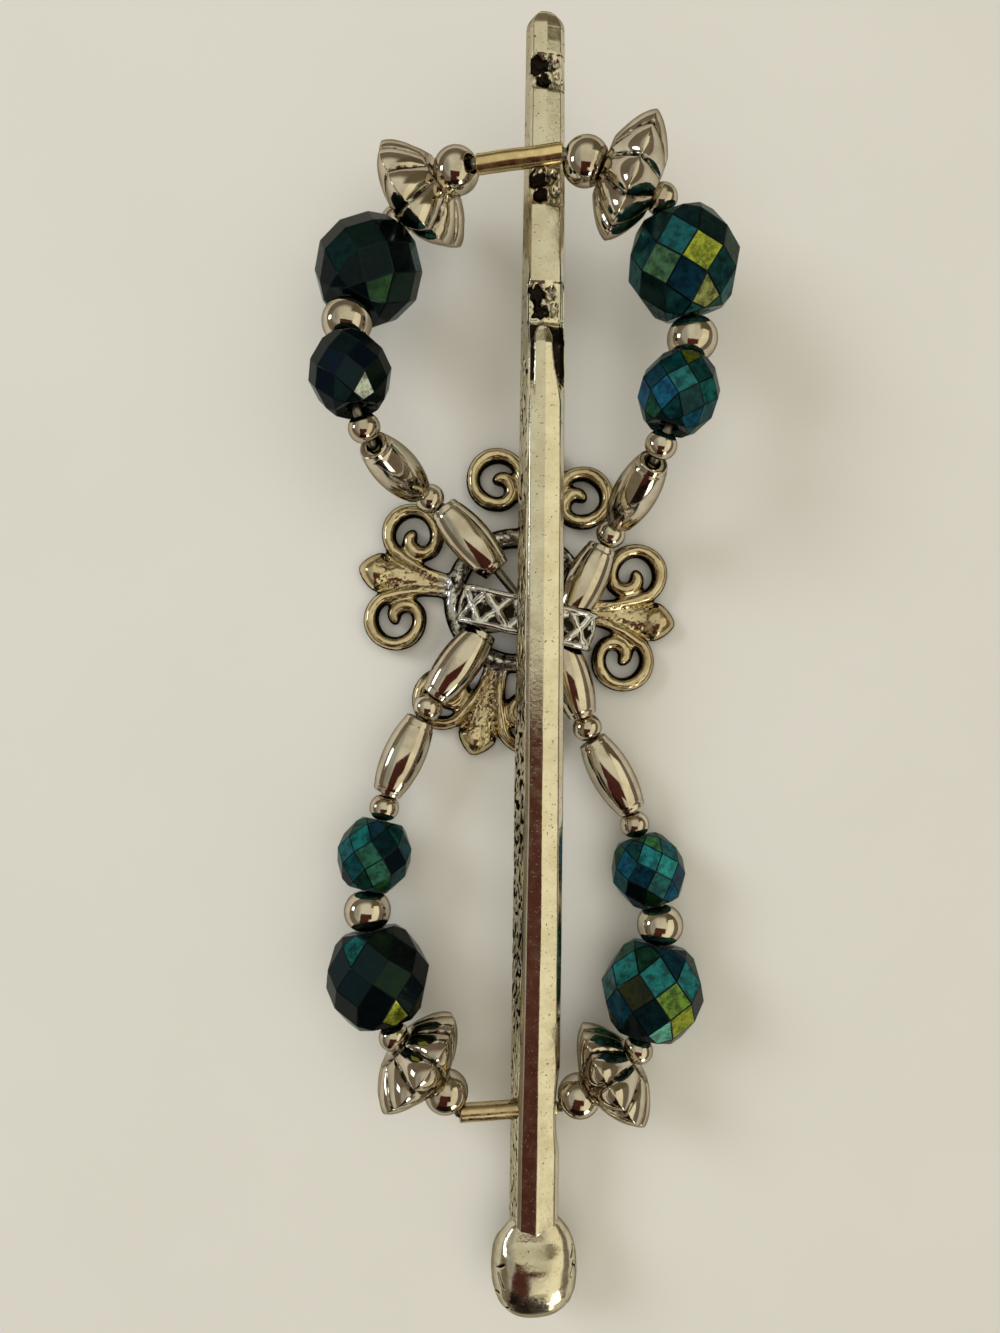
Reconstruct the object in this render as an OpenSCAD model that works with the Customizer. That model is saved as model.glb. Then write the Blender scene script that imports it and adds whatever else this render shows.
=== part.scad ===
// Beaded hair clip, lying on its face as it rests on a table.
// Two wires strung with beads cross inside a slide ring and form a figure eight between
// an upper and a lower bar. A long pin turns on the lower bar and lies over the slide ring
// and under the upper bar. The ring is soldered to the back of a cast scroll cross.
// X runs across the clip, Y runs along it to the tip of the pin, Z points up from the table.

/* [Beads] */
// Length of a barrel bead
barrel_len = 6.3; // [5.8:0.1:6.5]
// Diameter of a barrel bead at its middle
barrel_d = 3.3; // [3:0.1:3.4]
// Diameter of a barrel bead at its ends
barrel_end_d = 2.2; // [1.9:0.1:2.3]
// Length of a small glass bead
small_glass_len = 5.2; // [4.9:0.1:5.3]
// Diameter of a small glass bead
small_glass_d = 5.9; // [5.4:0.1:6]
// Length of a large glass bead
large_glass_len = 6.9; // [6.6:0.1:7]
// Diameter of a large glass bead
large_glass_d = 8; // [7.6:0.1:8.1]
// Diameter of a fluted bead over its flutes
fluted_d = 9.3; // [8.8:0.1:9.4]
// Length of a fluted bead over its two rims
fluted_len = 3.8; // [3.6:0.1:3.9]
// Distance between the two dimple floors of a fluted bead
fluted_floor_len = 3; // [2.8:0.1:3.1]
// Number of flutes
flutes = 12; // [10:1:14]
// Diameter of the hole through a bead
bead_hole_d = 1.1; // [1:0.05:1.2]
// Diameter of the hole through the round beads at the bars
end_hole_d = 1.4; // [1.2:0.05:1.5]
// Clear gap where two straight beads meet
bead_gap = 0.12; // [0.1:0.01:0.15]

/* [Wires and bars] */
// Diameter of the two wires
wire_d = 0.7; // [0.6:0.05:0.8]
// Height between the two wires where they cross
wire_lift = 1; // [0.9:0.05:1.1]
// Outer diameter of the bars
bar_d = 1.4; // [1.3:0.05:1.45]
// Hole through the bars
bar_hole_d = 1.05; // [1:0.01:1.08]

/* [Pin] */
// Height of the pin's hinge above the table
hinge_z = 5.25; // [5.2:0.05:5.35]
// Slope of the pin
pin_pitch = 4.1; // [4:0.05:4.2]
// Lean of the pin's back to the right, which is the slope of the lower bar as well
pin_roll = 9; // [8:0.5:10]
// Diameter of the hole that the lower bar runs in
hinge_hole_d = 1.48; // [1.46:0.01:1.6]
// Depth of the pin below its axis
pin_belly = 1.25; // [1.1:0.05:1.3]
// Width of the bevels along the pin's back
pin_bevel = 0.35; // [0.2:0.05:0.5]
// Height of the bevels along the pin's back
pin_bevel_h = 0.3; // [0.2:0.05:0.4]

/* [Slide ring] */
// Width of the slide ring across the pin
ring_w = 10.8; // [10.4:0.1:11]
// Height of the slide ring over its rims
ring_h = 3.85; // [3.8:0.05:3.9]
// Length of the slide ring along the pin
ring_len = 3; // [2.6:0.1:3.2]
// Wall of the slide ring at its rims
rim_wall = 0.4; // [0.35:0.05:0.4]
// Depth of the band below the rims
band_sink = 0.12; // [0.05:0.01:0.15]
// Crosses in the lattice on the slide ring
lattice_crosses = 5; // [4:1:7]

/* [Scroll cross] */
// Distance from the middle to the end of an arm
arm_reach = 13; // [12.5:0.1:13.2]
// Thickness of the casting
cast_h = 2; // [1.6:0.1:2]
// Distance of a scroll's centre along its arm
scroll_out = 9.1; // [8.9:0.1:9.3]
// Distance of a scroll's centre beside its arm
scroll_side = 3.45; // [3.3:0.05:3.6]
// Radius of a scroll at the middle of its band
scroll_r = 2.02; // [1.9:0.02:2.1]
// Width of a scroll's band
scroll_w = 0.9; // [0.7:0.05:1]
// Outer radius of the round boss
boss_r = 5.8; // [5.6:0.1:6]
// Radius of the opening in the boss
boss_open_r = 4.3; // [4:0.1:4.4]

/* [Hidden] */
$fn = 48;
facets = 16;
glass_sides = 8;
wire_sides = 8;
lean = [cos(pin_roll), 0, -sin(pin_roll)];

QUARTERS = ["upper_left", "upper_right", "lower_left", "lower_right"];
KINDS = ["inner_barrel", "inner_seed", "outer_barrel", "outer_seed", "small_glass",
         "spacer", "large_glass", "end_seed", "fluted", "end_round"];
function bead_name(q, k) = str(QUARTERS[q], "_", KINDS[k]);

gunmetal = "#8f897c";
old_brass = "#a58d5e";
glass_green = "#1f4a46";

// Round beads are turned from a circle beside the axis.
// Columns: distance of the circle from the axis, radius of the circle.
seed_round = [0.2, 0.95];
spacer_round = [0.45, 1.35];
end_round = [0.15, 1.55];

// Beads of one strand from the slide ring outward.
// Columns: length along the wire, round at its ends or [] for a flat end.
bead_rows = [
    [barrel_len, []],
    [2 * seed_round[1], seed_round],
    [barrel_len, []],
    [2 * seed_round[1], seed_round],
    [small_glass_len, []],
    [2 * spacer_round[1], spacer_round],
    [large_glass_len, []],
    [2 * seed_round[1], seed_round],
    [fluted_floor_len, []],
    [2 * end_round[1], end_round]];

// Where the strands leave the slide ring, in the order of QUARTERS. Columns: x, y, z.
strand_starts = [
    [-1.95, 9.5, 4.35],
    [3.4, 5.65, 4.35],
    [-2.95, 4.8, 4.3],
    [2.75, 4.1, 4.3]];

// Directions of the beads, a row for each of KINDS, in the order of QUARTERS.
// Columns: heading from X in plan, rise from the table, both in degrees.
strand_rows = [
    [[131, 1], [149, 27], [139, 56], [114, 25], [101, -9],
     [85, -38], [70, -20], [50, 4], [31, 27], [2, 42]],
    [[63, -1], [59, 23], [62, 50], [69, 22], [72, -6],
     [82, -6], [105, 9], [133, 9], [159, 5], [170, 10]],
    [[-127, -1], [-121, -1], [-115, 0], [-97, 3], [-103, 10],
     [-84, 8], [-78, 9], [-60, -1], [-40, -4], [-56, -4]],
    [[-71, -8], [-69, -5], [-60, -1], [-82, 0], [-71, 9],
     [-91, 5], [-101, 9], [-118, 1], [-146, -3], [-146, -2]]];

function direction(row) = [cos(row[1]) * cos(row[0]), cos(row[1]) * sin(row[0]), sin(row[1])];
function unit(v) = v / norm(v);
function round_between(k) = len(bead_rows[k - 1][1]) > 0 ? bead_rows[k - 1][1] : bead_rows[k][1];

// Gap along the wire between bead k - 1 and bead k, wider where the round one rolls on the flat one.
function joint_gap(q, k) =
    let (a = direction(strand_rows[q][k - 1]),
         b = direction(strand_rows[q][k]),
         turn = a * b,
         r = round_between(k))
    (bead_gap + r[0] * norm(cross(a, b)) + r[1] * (1 - turn)) / sqrt((1 + turn) / 2);

// Near and far mouths of bead k.
function mouth(q, k) = k == 0 ? strand_starts[q] :
    far_mouth(q, k - 1) + joint_gap(q, k)
    * unit(direction(strand_rows[q][k - 1]) + direction(strand_rows[q][k]));
function far_mouth(q, k) = mouth(q, k) + bead_rows[k][0] * direction(strand_rows[q][k]);

// Bars, each from left to right. Columns: x, y, z.
hinge = [0.85, -32.1, hinge_z];
top_bar_ends = [[-3, 37.4, 11.25], [2.2, 37.7, 12.1]];
bottom_bar_ends = [hinge - 5 * lean, hinge + 1.6 * lean];
wire_end_gap = 0.3;
bead_lead = 0.1;
bar_lead = 0.1;

// Sections of the pin. Columns: distance from the hinge, half width, height of the ridge.
pin_rows = [
    [-11, 1.4, 0.8],
    [-9.5, 1.65, 1.2],
    [-4, 1.65, 1.3],
    [-2.8, 1.48, 1.3],
    [2.5, 1.48, 1.3],
    [8, 1.65, 1.3],
    [40, 1.65, 1.25],
    [58.2, 1.55, 1.15],
    [59.1, 1.5, 0.1],
    [61.9, 1.45, 0.1],
    [62.6, 1.42, 0.5],
    [66.9, 1.36, 0.5],
    [67.5, 1.34, 0],
    [69.7, 1.3, 0],
    [70.3, 1.28, 0.45],
    [74.8, 1.22, 0.45],
    [75.4, 1.2, 0],
    [77.5, 1.18, 0],
    [78.1, 1.15, 0.4],
    [79.9, 1.05, 0.3],
    [80.6, 0.75, 0.05]];

// Sections of the ball at the lower end of the pin. Columns: distance from the hinge, half
// width, half depth, height of the centre.
ball_rows = [
    [-10.2, 1.35, 1.05, -0.05],
    [-10.8, 2.4, 2.1, -0.15],
    [-11.6, 3, 2.7, -0.25],
    [-12.8, 3.2, 2.95, -0.3],
    [-14, 3.2, 2.9, -0.3],
    [-15.2, 2.85, 2.6, -0.25],
    [-16, 2.15, 2, -0.2],
    [-16.35, 1.25, 1.2, -0.2]];

// Slide ring and scroll cross on the table. Columns: x, y.
ring_at = [0.4, 5.8];
ring_turn = -13;
ring_z = 4.3;
cross_at = [-0.4, 7.25];
arm_turns = [168, -8.5, -106, 78];

// Solder pads under the slide ring. Columns: left, right, top, in the ring's own frame.
solder_pads = [
    [3.1, 4.5, 2.68],
    [-5.7, -4.7, 3.2]];

// Skin of a solid through rings of points, all rings with the same number of points. Where
// every other ring is turned half a step, the diagonals swap sides from row to row.
module skin(rings, turned = false) {
    n = len(rings[0]);
    last = len(rings) - 1;
    triangles = [for (i = [0:last - 1]) for (j = [0:n - 1])
        let (a = i * n + j,
             b = i * n + (j + 1) % n,
             c = b + n,
             d = a + n)
        for (t = turned && i % 2 == 0 ? [[a, d, b], [b, d, c]] : [[a, d, c], [a, c, b]]) t];
    start_cap = [for (j = [0:n - 1]) j];
    end_cap = [for (j = [n - 1:-1:0]) last * n + j];
    polyhedron(points = [for (r = rings) for (p = r) p], faces = concat([start_cap], triangles, [end_cap]));
}

// Places children with their Z axis along a direction.
module point_along(v) {
    u = unit(v);
    rotate([0, acos(u[2]), atan2(u[1], u[0])]) children();
}

module bead_hole(length, d = bead_hole_d) {
    cylinder(h = length + 2, d = d, center = true);
}

module barrel() {
    sag = (barrel_d - barrel_end_d) / 2;
    arc_r = (pow(barrel_len / 2, 2) + sag * sag) / (2 * sag);
    color(gunmetal)
    difference() {
        rotate_extrude()
        intersection() {
            translate([barrel_d / 2 - arc_r, 0]) circle(r = arc_r, $fn = 96);
            translate([0, -barrel_len / 2]) square([barrel_d, barrel_len]);
        }
        bead_hole(barrel_len);
    }
}

module round_bead(profile, hole_d = bead_hole_d) {
    color(gunmetal)
    difference() {
        rotate_extrude()
        intersection() {
            union() {
                translate([profile[0], 0]) circle(r = profile[1]);
                translate([0, -profile[1]]) square([profile[0], 2 * profile[1]]);
            }
            translate([0, -profile[1]]) square([2 * profile[1], 2 * profile[1]]);
        }
        bead_hole(2 * profile[1], hole_d);
    }
}

// Fire polished glass: rows of flat facets between rings that are turned half a facet.
module glass(d, length) {
    // Columns: height as a share of the length, radius as a share of the largest.
    rows = [[-0.5, 0.534], [-0.42, 0.69], [-0.2, 0.924], [0, 1], [0.2, 0.924], [0.42, 0.69], [0.5, 0.534]];
    color(glass_green)
    difference() {
        skin([for (i = [0:len(rows) - 1]) ring_points(d / 2 * rows[i][1], length * rows[i][0], i % 2)],
             turned = true);
        bead_hole(length);
    }
}

function ring_points(r, z, half) =
    [for (j = [0:glass_sides - 1])
        let (a = (j + half / 2) * 360 / glass_sides)
        [r * cos(a), r * sin(a), z]];

// Fluted bead: puffed flutes on both cones and a dimple round each mouth.
module fluted() {
    // Columns: height, radius on a flute, radius between two flutes.
    half_rows = [
        [fluted_floor_len / 2, 1.25, 1.25],
        [fluted_len / 2, 2.15, 2.05],
        [fluted_len * 0.33, 3.5, 3.1],
        [0, fluted_d / 2, fluted_d / 2 - 0.45]];
    rows = concat(half_rows, [for (i = [2:-1:0]) [-half_rows[i][0], half_rows[i][1], half_rows[i][2]]]);
    color(gunmetal)
    difference() {
        skin([for (row = [for (i = [len(rows) - 1:-1:0]) rows[i]])
            [for (j = [0:2 * flutes - 1])
                let (a = j * 180 / flutes, r = j % 2 == 0 ? row[1] : row[2])
                [r * cos(a), r * sin(a), row[0]]]]);
        bead_hole(fluted_len);
    }
}

module bead(k) {
    if (k == 0 || k == 2) barrel();
    if (k == 1 || k == 3 || k == 7) round_bead(seed_round);
    if (k == 4) glass(small_glass_d, small_glass_len);
    if (k == 5) round_bead(spacer_round);
    if (k == 6) glass(large_glass_d, large_glass_len);
    if (k == 8) fluted();
    if (k == 9) round_bead(end_round, end_hole_d);
}

module strung_bead(q, k) {
    translate((mouth(q, k) + far_mouth(q, k)) / 2)
    point_along(direction(strand_rows[q][k]))
    bead(k);
}

// Route of a wire through one strand, from the bar to the slide ring. It runs straight on for
// a short lead past the first and the last bead.
function strand_route(q) = concat(
    [far_mouth(q, 9) + bead_lead * direction(strand_rows[q][9])],
    [for (k = [9:-1:0]) for (p = [far_mouth(q, k), mouth(q, k)]) if (p != far_mouth(q, 9) && p != mouth(q, 0)) p],
    [mouth(q, 0) - bead_lead * direction(strand_rows[q][0])]);
function reversed(list) = [for (i = [len(list) - 1:-1:0]) list[i]];
function bar_side(ends, side) =
    let (a = ends[side], b = ends[1 - side], middle = (a + b) / 2)
    [middle + wire_end_gap * unit(a - b), a + bar_lead * unit(a - b)];

// A wire from the upper bar down strand q, through the slide ring and on down strand p.
function wire_route(q, p, lift) =
    concat(bar_side(top_bar_ends, q),
           strand_route(q),
           [crossing(q, p) + [0, 0, lift]],
           reversed(strand_route(p)),
           reversed(bar_side(bottom_bar_ends, p - 2)));
function crossing(q, p) = [1.35, 5.4, ring_z] + 0.1 * unit(strand_starts[p] - strand_starts[q]);

// Tube along a route, mitred at each corner.
module tube_along(route, r, sides) {
    last = len(route) - 1;
    steps = [for (i = [0:last - 1]) unit(route[i + 1] - route[i])];
    skin([for (i = [0:last])
        let (before = steps[max(i - 1, 0)],
             after = steps[min(i, last - 1)],
             flat = unit(before + after),
             side = unit(cross(before, [0.1, 0.05, 1])),
             top = cross(side, before))
        [for (j = [0:sides - 1])
            let (a = -j * 360 / sides,
                 v = r * (cos(a) * side + sin(a) * top))
            route[i] + v - before * (v * flat) / (before * flat)]]);
}

module wire(q, p, lift) {
    color(old_brass) tube_along(wire_route(q, p, lift), wire_d / 2, wire_sides);
}

module bar(ends) {
    run = ends[1] - ends[0];
    color(old_brass)
    translate(ends[0])
    point_along(run)
    difference() {
        cylinder(h = norm(run), d = bar_d);
        translate([0, 0, -1]) cylinder(h = norm(run) + 2, d = bar_hole_d);
    }
}

// Section of the pin across its length, with bevels above the flanks and below them.
function pin_section(row) =
    let (s = row[0],
         w = row[1],
         ridge = row[2],
         shoulder = ridge - 0.25,
         foot = -min(pin_belly, 0.75 + w))
    [[-w, s, shoulder - pin_bevel_h],
     [-w + pin_bevel, s, shoulder],
     [0, s, ridge],
     [w - pin_bevel, s, shoulder],
     [w, s, shoulder - pin_bevel_h],
     [w - 0.05, s, foot + 0.3],
     [w - 0.35, s, foot],
     [-w + 0.35, s, foot],
     [-w + 0.05, s, foot + 0.3]];

function ball_section(row) =
    [for (j = [0:facets - 1])
        let (a = 90 + j * 360 / facets, c = cos(a), z = sin(a))
        [-row[1] * sign(c) * pow(abs(c), 0.8), row[0], row[3] + row[2] * sign(z) * pow(abs(z), 0.8)]];

module pin() {
    color(gunmetal)
    translate(hinge)
    rotate([pin_pitch, pin_roll, 0])
    difference() {
        union() {
            skin([for (row = pin_rows) pin_section(row)]);
            skin([for (i = [len(ball_rows) - 1:-1:0]) ball_section(ball_rows[i])]);
        }
        rotate([0, 90, 0]) cylinder(h = 8, d = hinge_hole_d, center = true);
    }
}

module stadium(w, h) {
    square([w - h, h], center = true);
    for (side = [-1, 1]) translate([side * (w - h) / 2, 0]) circle(d = h, $fn = 24);
}

// A band round the pin's way, with its length along Y.
module band(w, h, length) {
    rotate([90, 0, 0]) linear_extrude(length, center = true) stadium(w, h);
}

module slide_ring() {
    rim_len = 0.5;
    rib_span = ring_w - ring_h;
    rib_step = rib_span / lattice_crosses;
    rib_below_rim = 0.03;
    rib_z = ring_h / 2 - band_sink - rib_below_rim;
    rib_y = ring_len / 2 - rim_len / 2;
    difference() {
        union() {
            band(ring_w - 2 * band_sink, ring_h - 2 * band_sink, ring_len);
            for (side = [-1, 1])
                translate([0, side * (ring_len - rim_len) / 2, 0]) band(ring_w, ring_h, rim_len);
            for (i = [0:lattice_crosses - 1])
                for (side = [-1, 1])
                    hull() {
                        x = -rib_span / 2 + (i + 0.5) * rib_step;
                        for (end = [-1, 1])
                            translate([x + side * end * rib_step / 2, end * rib_y, rib_z])
                            cube([0.3, 0.2, 2 * band_sink], center = true);
                    }
        }
        band(ring_w - 2 * rim_wall, ring_h - 2 * rim_wall, ring_len + 2);
    }
}

// Solid with a flat foot and a raised middle along a plan route. Columns of rows: x, y, width.
module raised_strip(rows, height) {
    last = len(rows) - 1;
    skin([for (i = [0:last])
        let (a = rows[max(i - 1, 0)],
             b = rows[min(i + 1, last)],
             along = unit([b[0] - a[0], b[1] - a[1]]),
             side = [-along[1], along[0]] * rows[i][2] / 2)
        [for (c = [[1, 0.55], [0, 1], [-1, 0.55], [-1, 0], [1, 0]])
            [rows[i][0] + c[0] * side[0], rows[i][1] + c[0] * side[1], c[1] * height]]]);
}

// One scroll: a stem from the boss that curls round and ends in a round blob.
module scroll() {
    curl_steps = 12;
    blob_r = 1;
    stem_rows = [[boss_r - 1, 0.75, 1.1], [boss_r + 0.6, 0.8, 1], [scroll_out - 1.2, 1.05, scroll_w]];
    curl_rows = [for (i = [0:curl_steps])
        let (a = -90 + i * 310 / curl_steps,
             r = scroll_r - max(0, a - 150) * 0.011)
        [scroll_out + r * cos(a), scroll_side + r * sin(a), scroll_w]];
    tail = curl_rows[curl_steps];
    raised_strip(concat(stem_rows, curl_rows), cast_h - 0.1);
    translate([tail[0] + 0.35, tail[1] - 0.25, 0]) dome(blob_r, cast_h);
}

// Round boss with bevelled shoulders.
module dome(r, height) {
    cylinder(h = height * 0.6, r = r, $fn = 12);
    translate([0, 0, height * 0.6]) cylinder(h = height * 0.4, r1 = r, r2 = r * 0.55, $fn = 12);
}

// One arm of the cross along X: stem, round lobe at the end and a scroll on each side.
module arm() {
    lobe_r = 1.25;
    for (side = [0, 1]) mirror([0, side, 0]) scroll();
    hull() {
        translate([arm_reach - lobe_r, 0, 0]) dome(lobe_r, cast_h);
        translate([scroll_out + 0.5, 0, 0]) dome(0.93, cast_h);
    }
    raised_strip([[boss_r - 1, 0, 1.8], [scroll_out - 1.5, 0, 1.5], [scroll_out + 0.9, 0, 1.9]], cast_h);
}

module scroll_cross() {
    for (a = arm_turns) rotate([0, 0, a]) arm();
    difference() {
        dome_ring();
        translate([0, 0, -1]) cylinder(h = cast_h + 3, r = boss_open_r, $fn = 32);
    }
}

module dome_ring() {
    cylinder(h = cast_h, r = boss_r, $fn = 32);
    translate([0, 0, cast_h]) cylinder(h = 0.4, r1 = boss_r, r2 = boss_r - 0.4, $fn = 32);
}

// Slide ring and scroll cross, soldered together.
module centrepiece() {
    color(old_brass)
    union() {
        translate(cross_at) scroll_cross();
        translate([ring_at[0], ring_at[1], ring_z]) rotate([0, 0, ring_turn]) slide_ring();
        translate(ring_at) rotate([0, 0, ring_turn])
        for (pad = solder_pads)
            translate([pad[0], -1.1, 1]) cube([pad[1] - pad[0], 2.2, pad[2] - 1]);
    }
}

for (q = [0:3])
    for (k = [0:9])
        strung_bead(q, k);
bar(top_bar_ends);  // top_bar
bar(bottom_bar_ends);  // bottom_bar
centrepiece();
pin();
wire(0, 3, wire_lift / 2);  // wire_a
wire(1, 2, -wire_lift / 2);  // wire_b
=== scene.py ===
"""Looks of a beaded hair clip that lies on its face on a pale table.

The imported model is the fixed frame. Every piece is built in millimetres in the frame's own
coordinates and scaled to metres: X across the clip, Y along it to the tip of the pin, Z up.
"""
import math
from collections import namedtuple

import bmesh
import bpy
import numpy as np
from mathutils import Matrix, Vector, noise

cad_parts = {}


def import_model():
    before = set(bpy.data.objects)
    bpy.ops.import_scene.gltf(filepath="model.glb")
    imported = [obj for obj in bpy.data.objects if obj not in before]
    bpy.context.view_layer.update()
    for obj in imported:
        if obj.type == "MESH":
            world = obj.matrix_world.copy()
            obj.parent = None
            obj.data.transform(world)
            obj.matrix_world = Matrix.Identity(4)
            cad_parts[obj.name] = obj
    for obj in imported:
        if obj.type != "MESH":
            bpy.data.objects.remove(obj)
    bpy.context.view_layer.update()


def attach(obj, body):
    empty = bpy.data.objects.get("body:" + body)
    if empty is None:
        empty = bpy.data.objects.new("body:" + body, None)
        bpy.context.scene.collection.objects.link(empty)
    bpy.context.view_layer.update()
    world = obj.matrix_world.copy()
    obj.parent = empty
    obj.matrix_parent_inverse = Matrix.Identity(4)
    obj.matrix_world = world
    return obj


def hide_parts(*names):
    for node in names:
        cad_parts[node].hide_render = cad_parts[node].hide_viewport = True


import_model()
MM = 0.001


# ------ camera
CAMERA_AT = Vector((-1.695, 3.374, 82.0))
CAMERA_TILT = -1            # degrees from straight down
SENSOR = 36
PHOTO_SHAPE = (1000, 1333)


def make_camera():
    """Straight above the clip, within a degree, as in the photograph."""
    data = bpy.data.cameras.new("camera")
    data.sensor_width = SENSOR
    data.lens = SENSOR * PHOTO_SHAPE[0] / PHOTO_SHAPE[1]
    data.clip_start = 0.001
    data.clip_end = 20
    cam = link_new("camera", data)
    cam.location = CAMERA_AT * MM
    cam.rotation_euler = (math.radians(CAMERA_TILT), 0, 0)
    bpy.context.scene.camera = cam


# ------ where the beads are
def unit(degrees):
    """Cosine and sine of an angle."""
    return math.cos(math.radians(degrees)), math.sin(math.radians(degrees))


QUARTERS = ["upper_left", "upper_right", "lower_left", "lower_right"]
BARREL_LEN = 6.3
# outline of a round bead: distance of its circle from the axis, radius of the circle
SEED, SPACER, END_ROUND = (0.2, 0.95), (0.45, 1.35), (0.15, 1.55)
# a strand's beads from the ring outward. length is the drilled length, and stretch is how much
# longer a metal bead looks, so that neighbours nearly touch
Bead = namedtuple("Bead", "kind length outline stretch")
BEADS = [Bead("inner_barrel", BARREL_LEN, None, 1.01), Bead("inner_seed", 1.9, SEED, 1.06),
         Bead("outer_barrel", BARREL_LEN, None, 1.01), Bead("outer_seed", 1.9, SEED, 1.06),
         Bead("small_glass", 5.2, None, None), Bead("spacer", 2.7, SPACER, 1.12),
         Bead("large_glass", 6.9, None, None), Bead("end_seed", 1.9, SEED, 1.06),
         Bead("fluted", 3.0, None, 1.0), Bead("end_round", 3.1, END_ROUND, 1.03)]
BEAD_GAP = 0.12             # between the drilled mouths of neighbours
# each strand's first mouth, then for each of its beads the heading from X in plan and the rise,
# in degrees
STARTS = [(-1.95, 9.5, 4.35), (3.4, 5.65, 4.35), (-2.95, 4.8, 4.3), (2.75, 4.1, 4.3)]
ROWS = [
    [(131, 1), (149, 27), (139, 56), (114, 25), (101, -9),
     (85, -38), (70, -20), (50, 4), (31, 27), (2, 42)],
    [(63, -1), (59, 23), (62, 50), (69, 22), (72, -6),
     (82, -6), (105, 9), (133, 9), (159, 5), (170, 10)],
    [(-127, -1), (-121, -1), (-115, 0), (-97, 3), (-103, 10),
     (-84, 8), (-78, 9), (-60, -1), (-40, -4), (-56, -4)],
    [(-71, -8), (-69, -5), (-60, -1), (-82, 0), (-71, 9),
     (-91, 5), (-101, 9), (-118, 1), (-146, -3), (-146, -2)]]
HINGE = Vector((0.85, -32.1, 5.25))
PIN_PITCH = 4.1
PIN_ROLL = 9
LEAN = Vector((unit(PIN_ROLL)[0], 0, -unit(PIN_ROLL)[1]))
TOP_BAR = [Vector((-3.3, 37.38, 11.2)), Vector((2.7, 37.73, 12.18))]
BOTTOM_BAR = [HINGE - 5.7 * LEAN, HINGE + 1.8 * LEAN]
RING_AT = Vector((0.4, 5.8, 4.3))
RING_TURN = -13
CROSS_AT = Vector((-0.4, 7.25, 0))
ARM_TURNS = [168, -8.5, -106, 78]


def strand(q):
    """Near mouth, far mouth and direction of every bead of a strand, from the ring outward."""
    beads = []
    for k, (heading, rise) in enumerate(ROWS[q]):
        (x, y), (level, up) = unit(heading), unit(rise)
        d = Vector((level * x, level * y, up))
        if k == 0:
            near = Vector(STARTS[q])
        else:
            _, last_mouth, before = beads[-1]
            turn = before.dot(d)
            middle, radius = BEADS[k - 1].outline or BEADS[k].outline
            gap = (BEAD_GAP + middle * before.cross(d).length + radius * (1 - turn)) \
                / math.sqrt((1 + turn) / 2)
            near = last_mouth + gap * (before + d).normalized()
        beads.append((near, near + BEADS[k].length * d, d))
    return beads


STRANDS = [strand(q) for q in range(len(QUARTERS))]


def along(centre, d, roll=0.0):
    """Placement of a bead with its axis along d."""
    turn = Matrix.Rotation(math.atan2(d.y, d.x), 4, "Z") @ Matrix.Rotation(math.acos(d.z), 4, "Y")
    return Matrix.Translation(centre) @ turn @ Matrix.Rotation(math.radians(roll), 4, "Z")


def turned(place, degrees):
    """Placement at a point, turned in plan."""
    return Matrix.Translation(place) @ Matrix.Rotation(math.radians(degrees), 4, "Z")


# ------ mesh helpers
def ease(a, b, x):
    """0 at a and 1 at b, with a smooth step between them."""
    t = np.clip((np.asarray(x, float) - a) / (b - a), 0, 1)
    return t * t * (3 - 2 * t)


def grid_faces(rows, cols, close_rows=False):
    """Quads over a grid of points, row by row, closed round the columns and, if asked, the rows."""
    ii, jj = np.meshgrid(np.arange(rows if close_rows else rows - 1), np.arange(cols),
                         indexing="ij")
    a = ii * cols + jj
    b = ii * cols + (jj + 1) % cols
    c = (ii + 1) % rows * cols + (jj + 1) % cols
    d = (ii + 1) % rows * cols + jj
    return np.stack([a, b, c, d], -1).reshape(-1, 4).tolist()


def capped_faces(rows, cols, flip=False):
    """Faces of a tube of rows of points with both of its ends closed."""
    faces = grid_faces(rows, cols)
    faces += [list(range(cols))[::-1], list(range((rows - 1) * cols, rows * cols))]
    return [face[::-1] for face in faces] if flip else faces


def turn_round(r, z, a):
    """Points at radius r and height z, turned round Z by the angles a."""
    return np.stack([r * np.cos(a), r * np.sin(a), z + 0 * a], -1).reshape(-1, 3)


def lathe(profile, sides):
    """Closed profile of (radius, height) turned round Z. Counter-clockwise profiles face out."""
    a = np.arange(sides) * 2 * math.pi / sides
    r, z = np.array(profile).T[:, :, None]
    return turn_round(r, z, a), grid_faces(len(profile), sides, close_rows=True)


def point_values(mesh, name, values):
    """A number for each point of a mesh, or one for them all, for its material to read."""
    values = np.broadcast_to(values, len(mesh.vertices)).astype(np.float32)
    mesh.attributes.new(name, "FLOAT", "POINT").data.foreach_set("value", values)


def shade_smooth(mesh):
    mesh.polygons.foreach_set("use_smooth", [True] * len(mesh.polygons))


def link_new(name, data):
    obj = bpy.data.objects.new(name, data)
    bpy.context.scene.collection.objects.link(obj)
    return obj


def mesh_from(bm, name):
    mesh = bpy.data.meshes.new(name)
    bm.to_mesh(mesh)
    bm.free()
    return mesh


def add_object(name, verts, faces, patina_and_shade=0.0, place=None, steel=None):
    """Mesh object from points in millimetres, with a share of dark finish for each point, which is
    partly patina and partly painted shade, and a share of grey metal from steel."""
    verts = np.asarray(verts, float)
    if place is not None:
        m = np.array(place)
        verts = verts @ m[:3, :3].T + m[:3, 3]
    mesh = bpy.data.meshes.new(name)
    mesh.from_pydata((verts * MM).tolist(), [], faces)
    mesh.update()
    shade_smooth(mesh)
    point_values(mesh, "patina_and_shade", patina_and_shade)
    if steel is not None:
        point_values(mesh, "steel", steel)
    return link_new(name, mesh)


def join(name, parts):
    """One object from several, in the order given."""
    bpy.ops.object.select_all(action="DESELECT")
    for o in parts:
        o.select_set(True)
    bpy.context.view_layer.objects.active = parts[0]
    bpy.ops.object.join()
    parts[0].name = name
    parts[0].data.name = name
    return parts[0]


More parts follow.
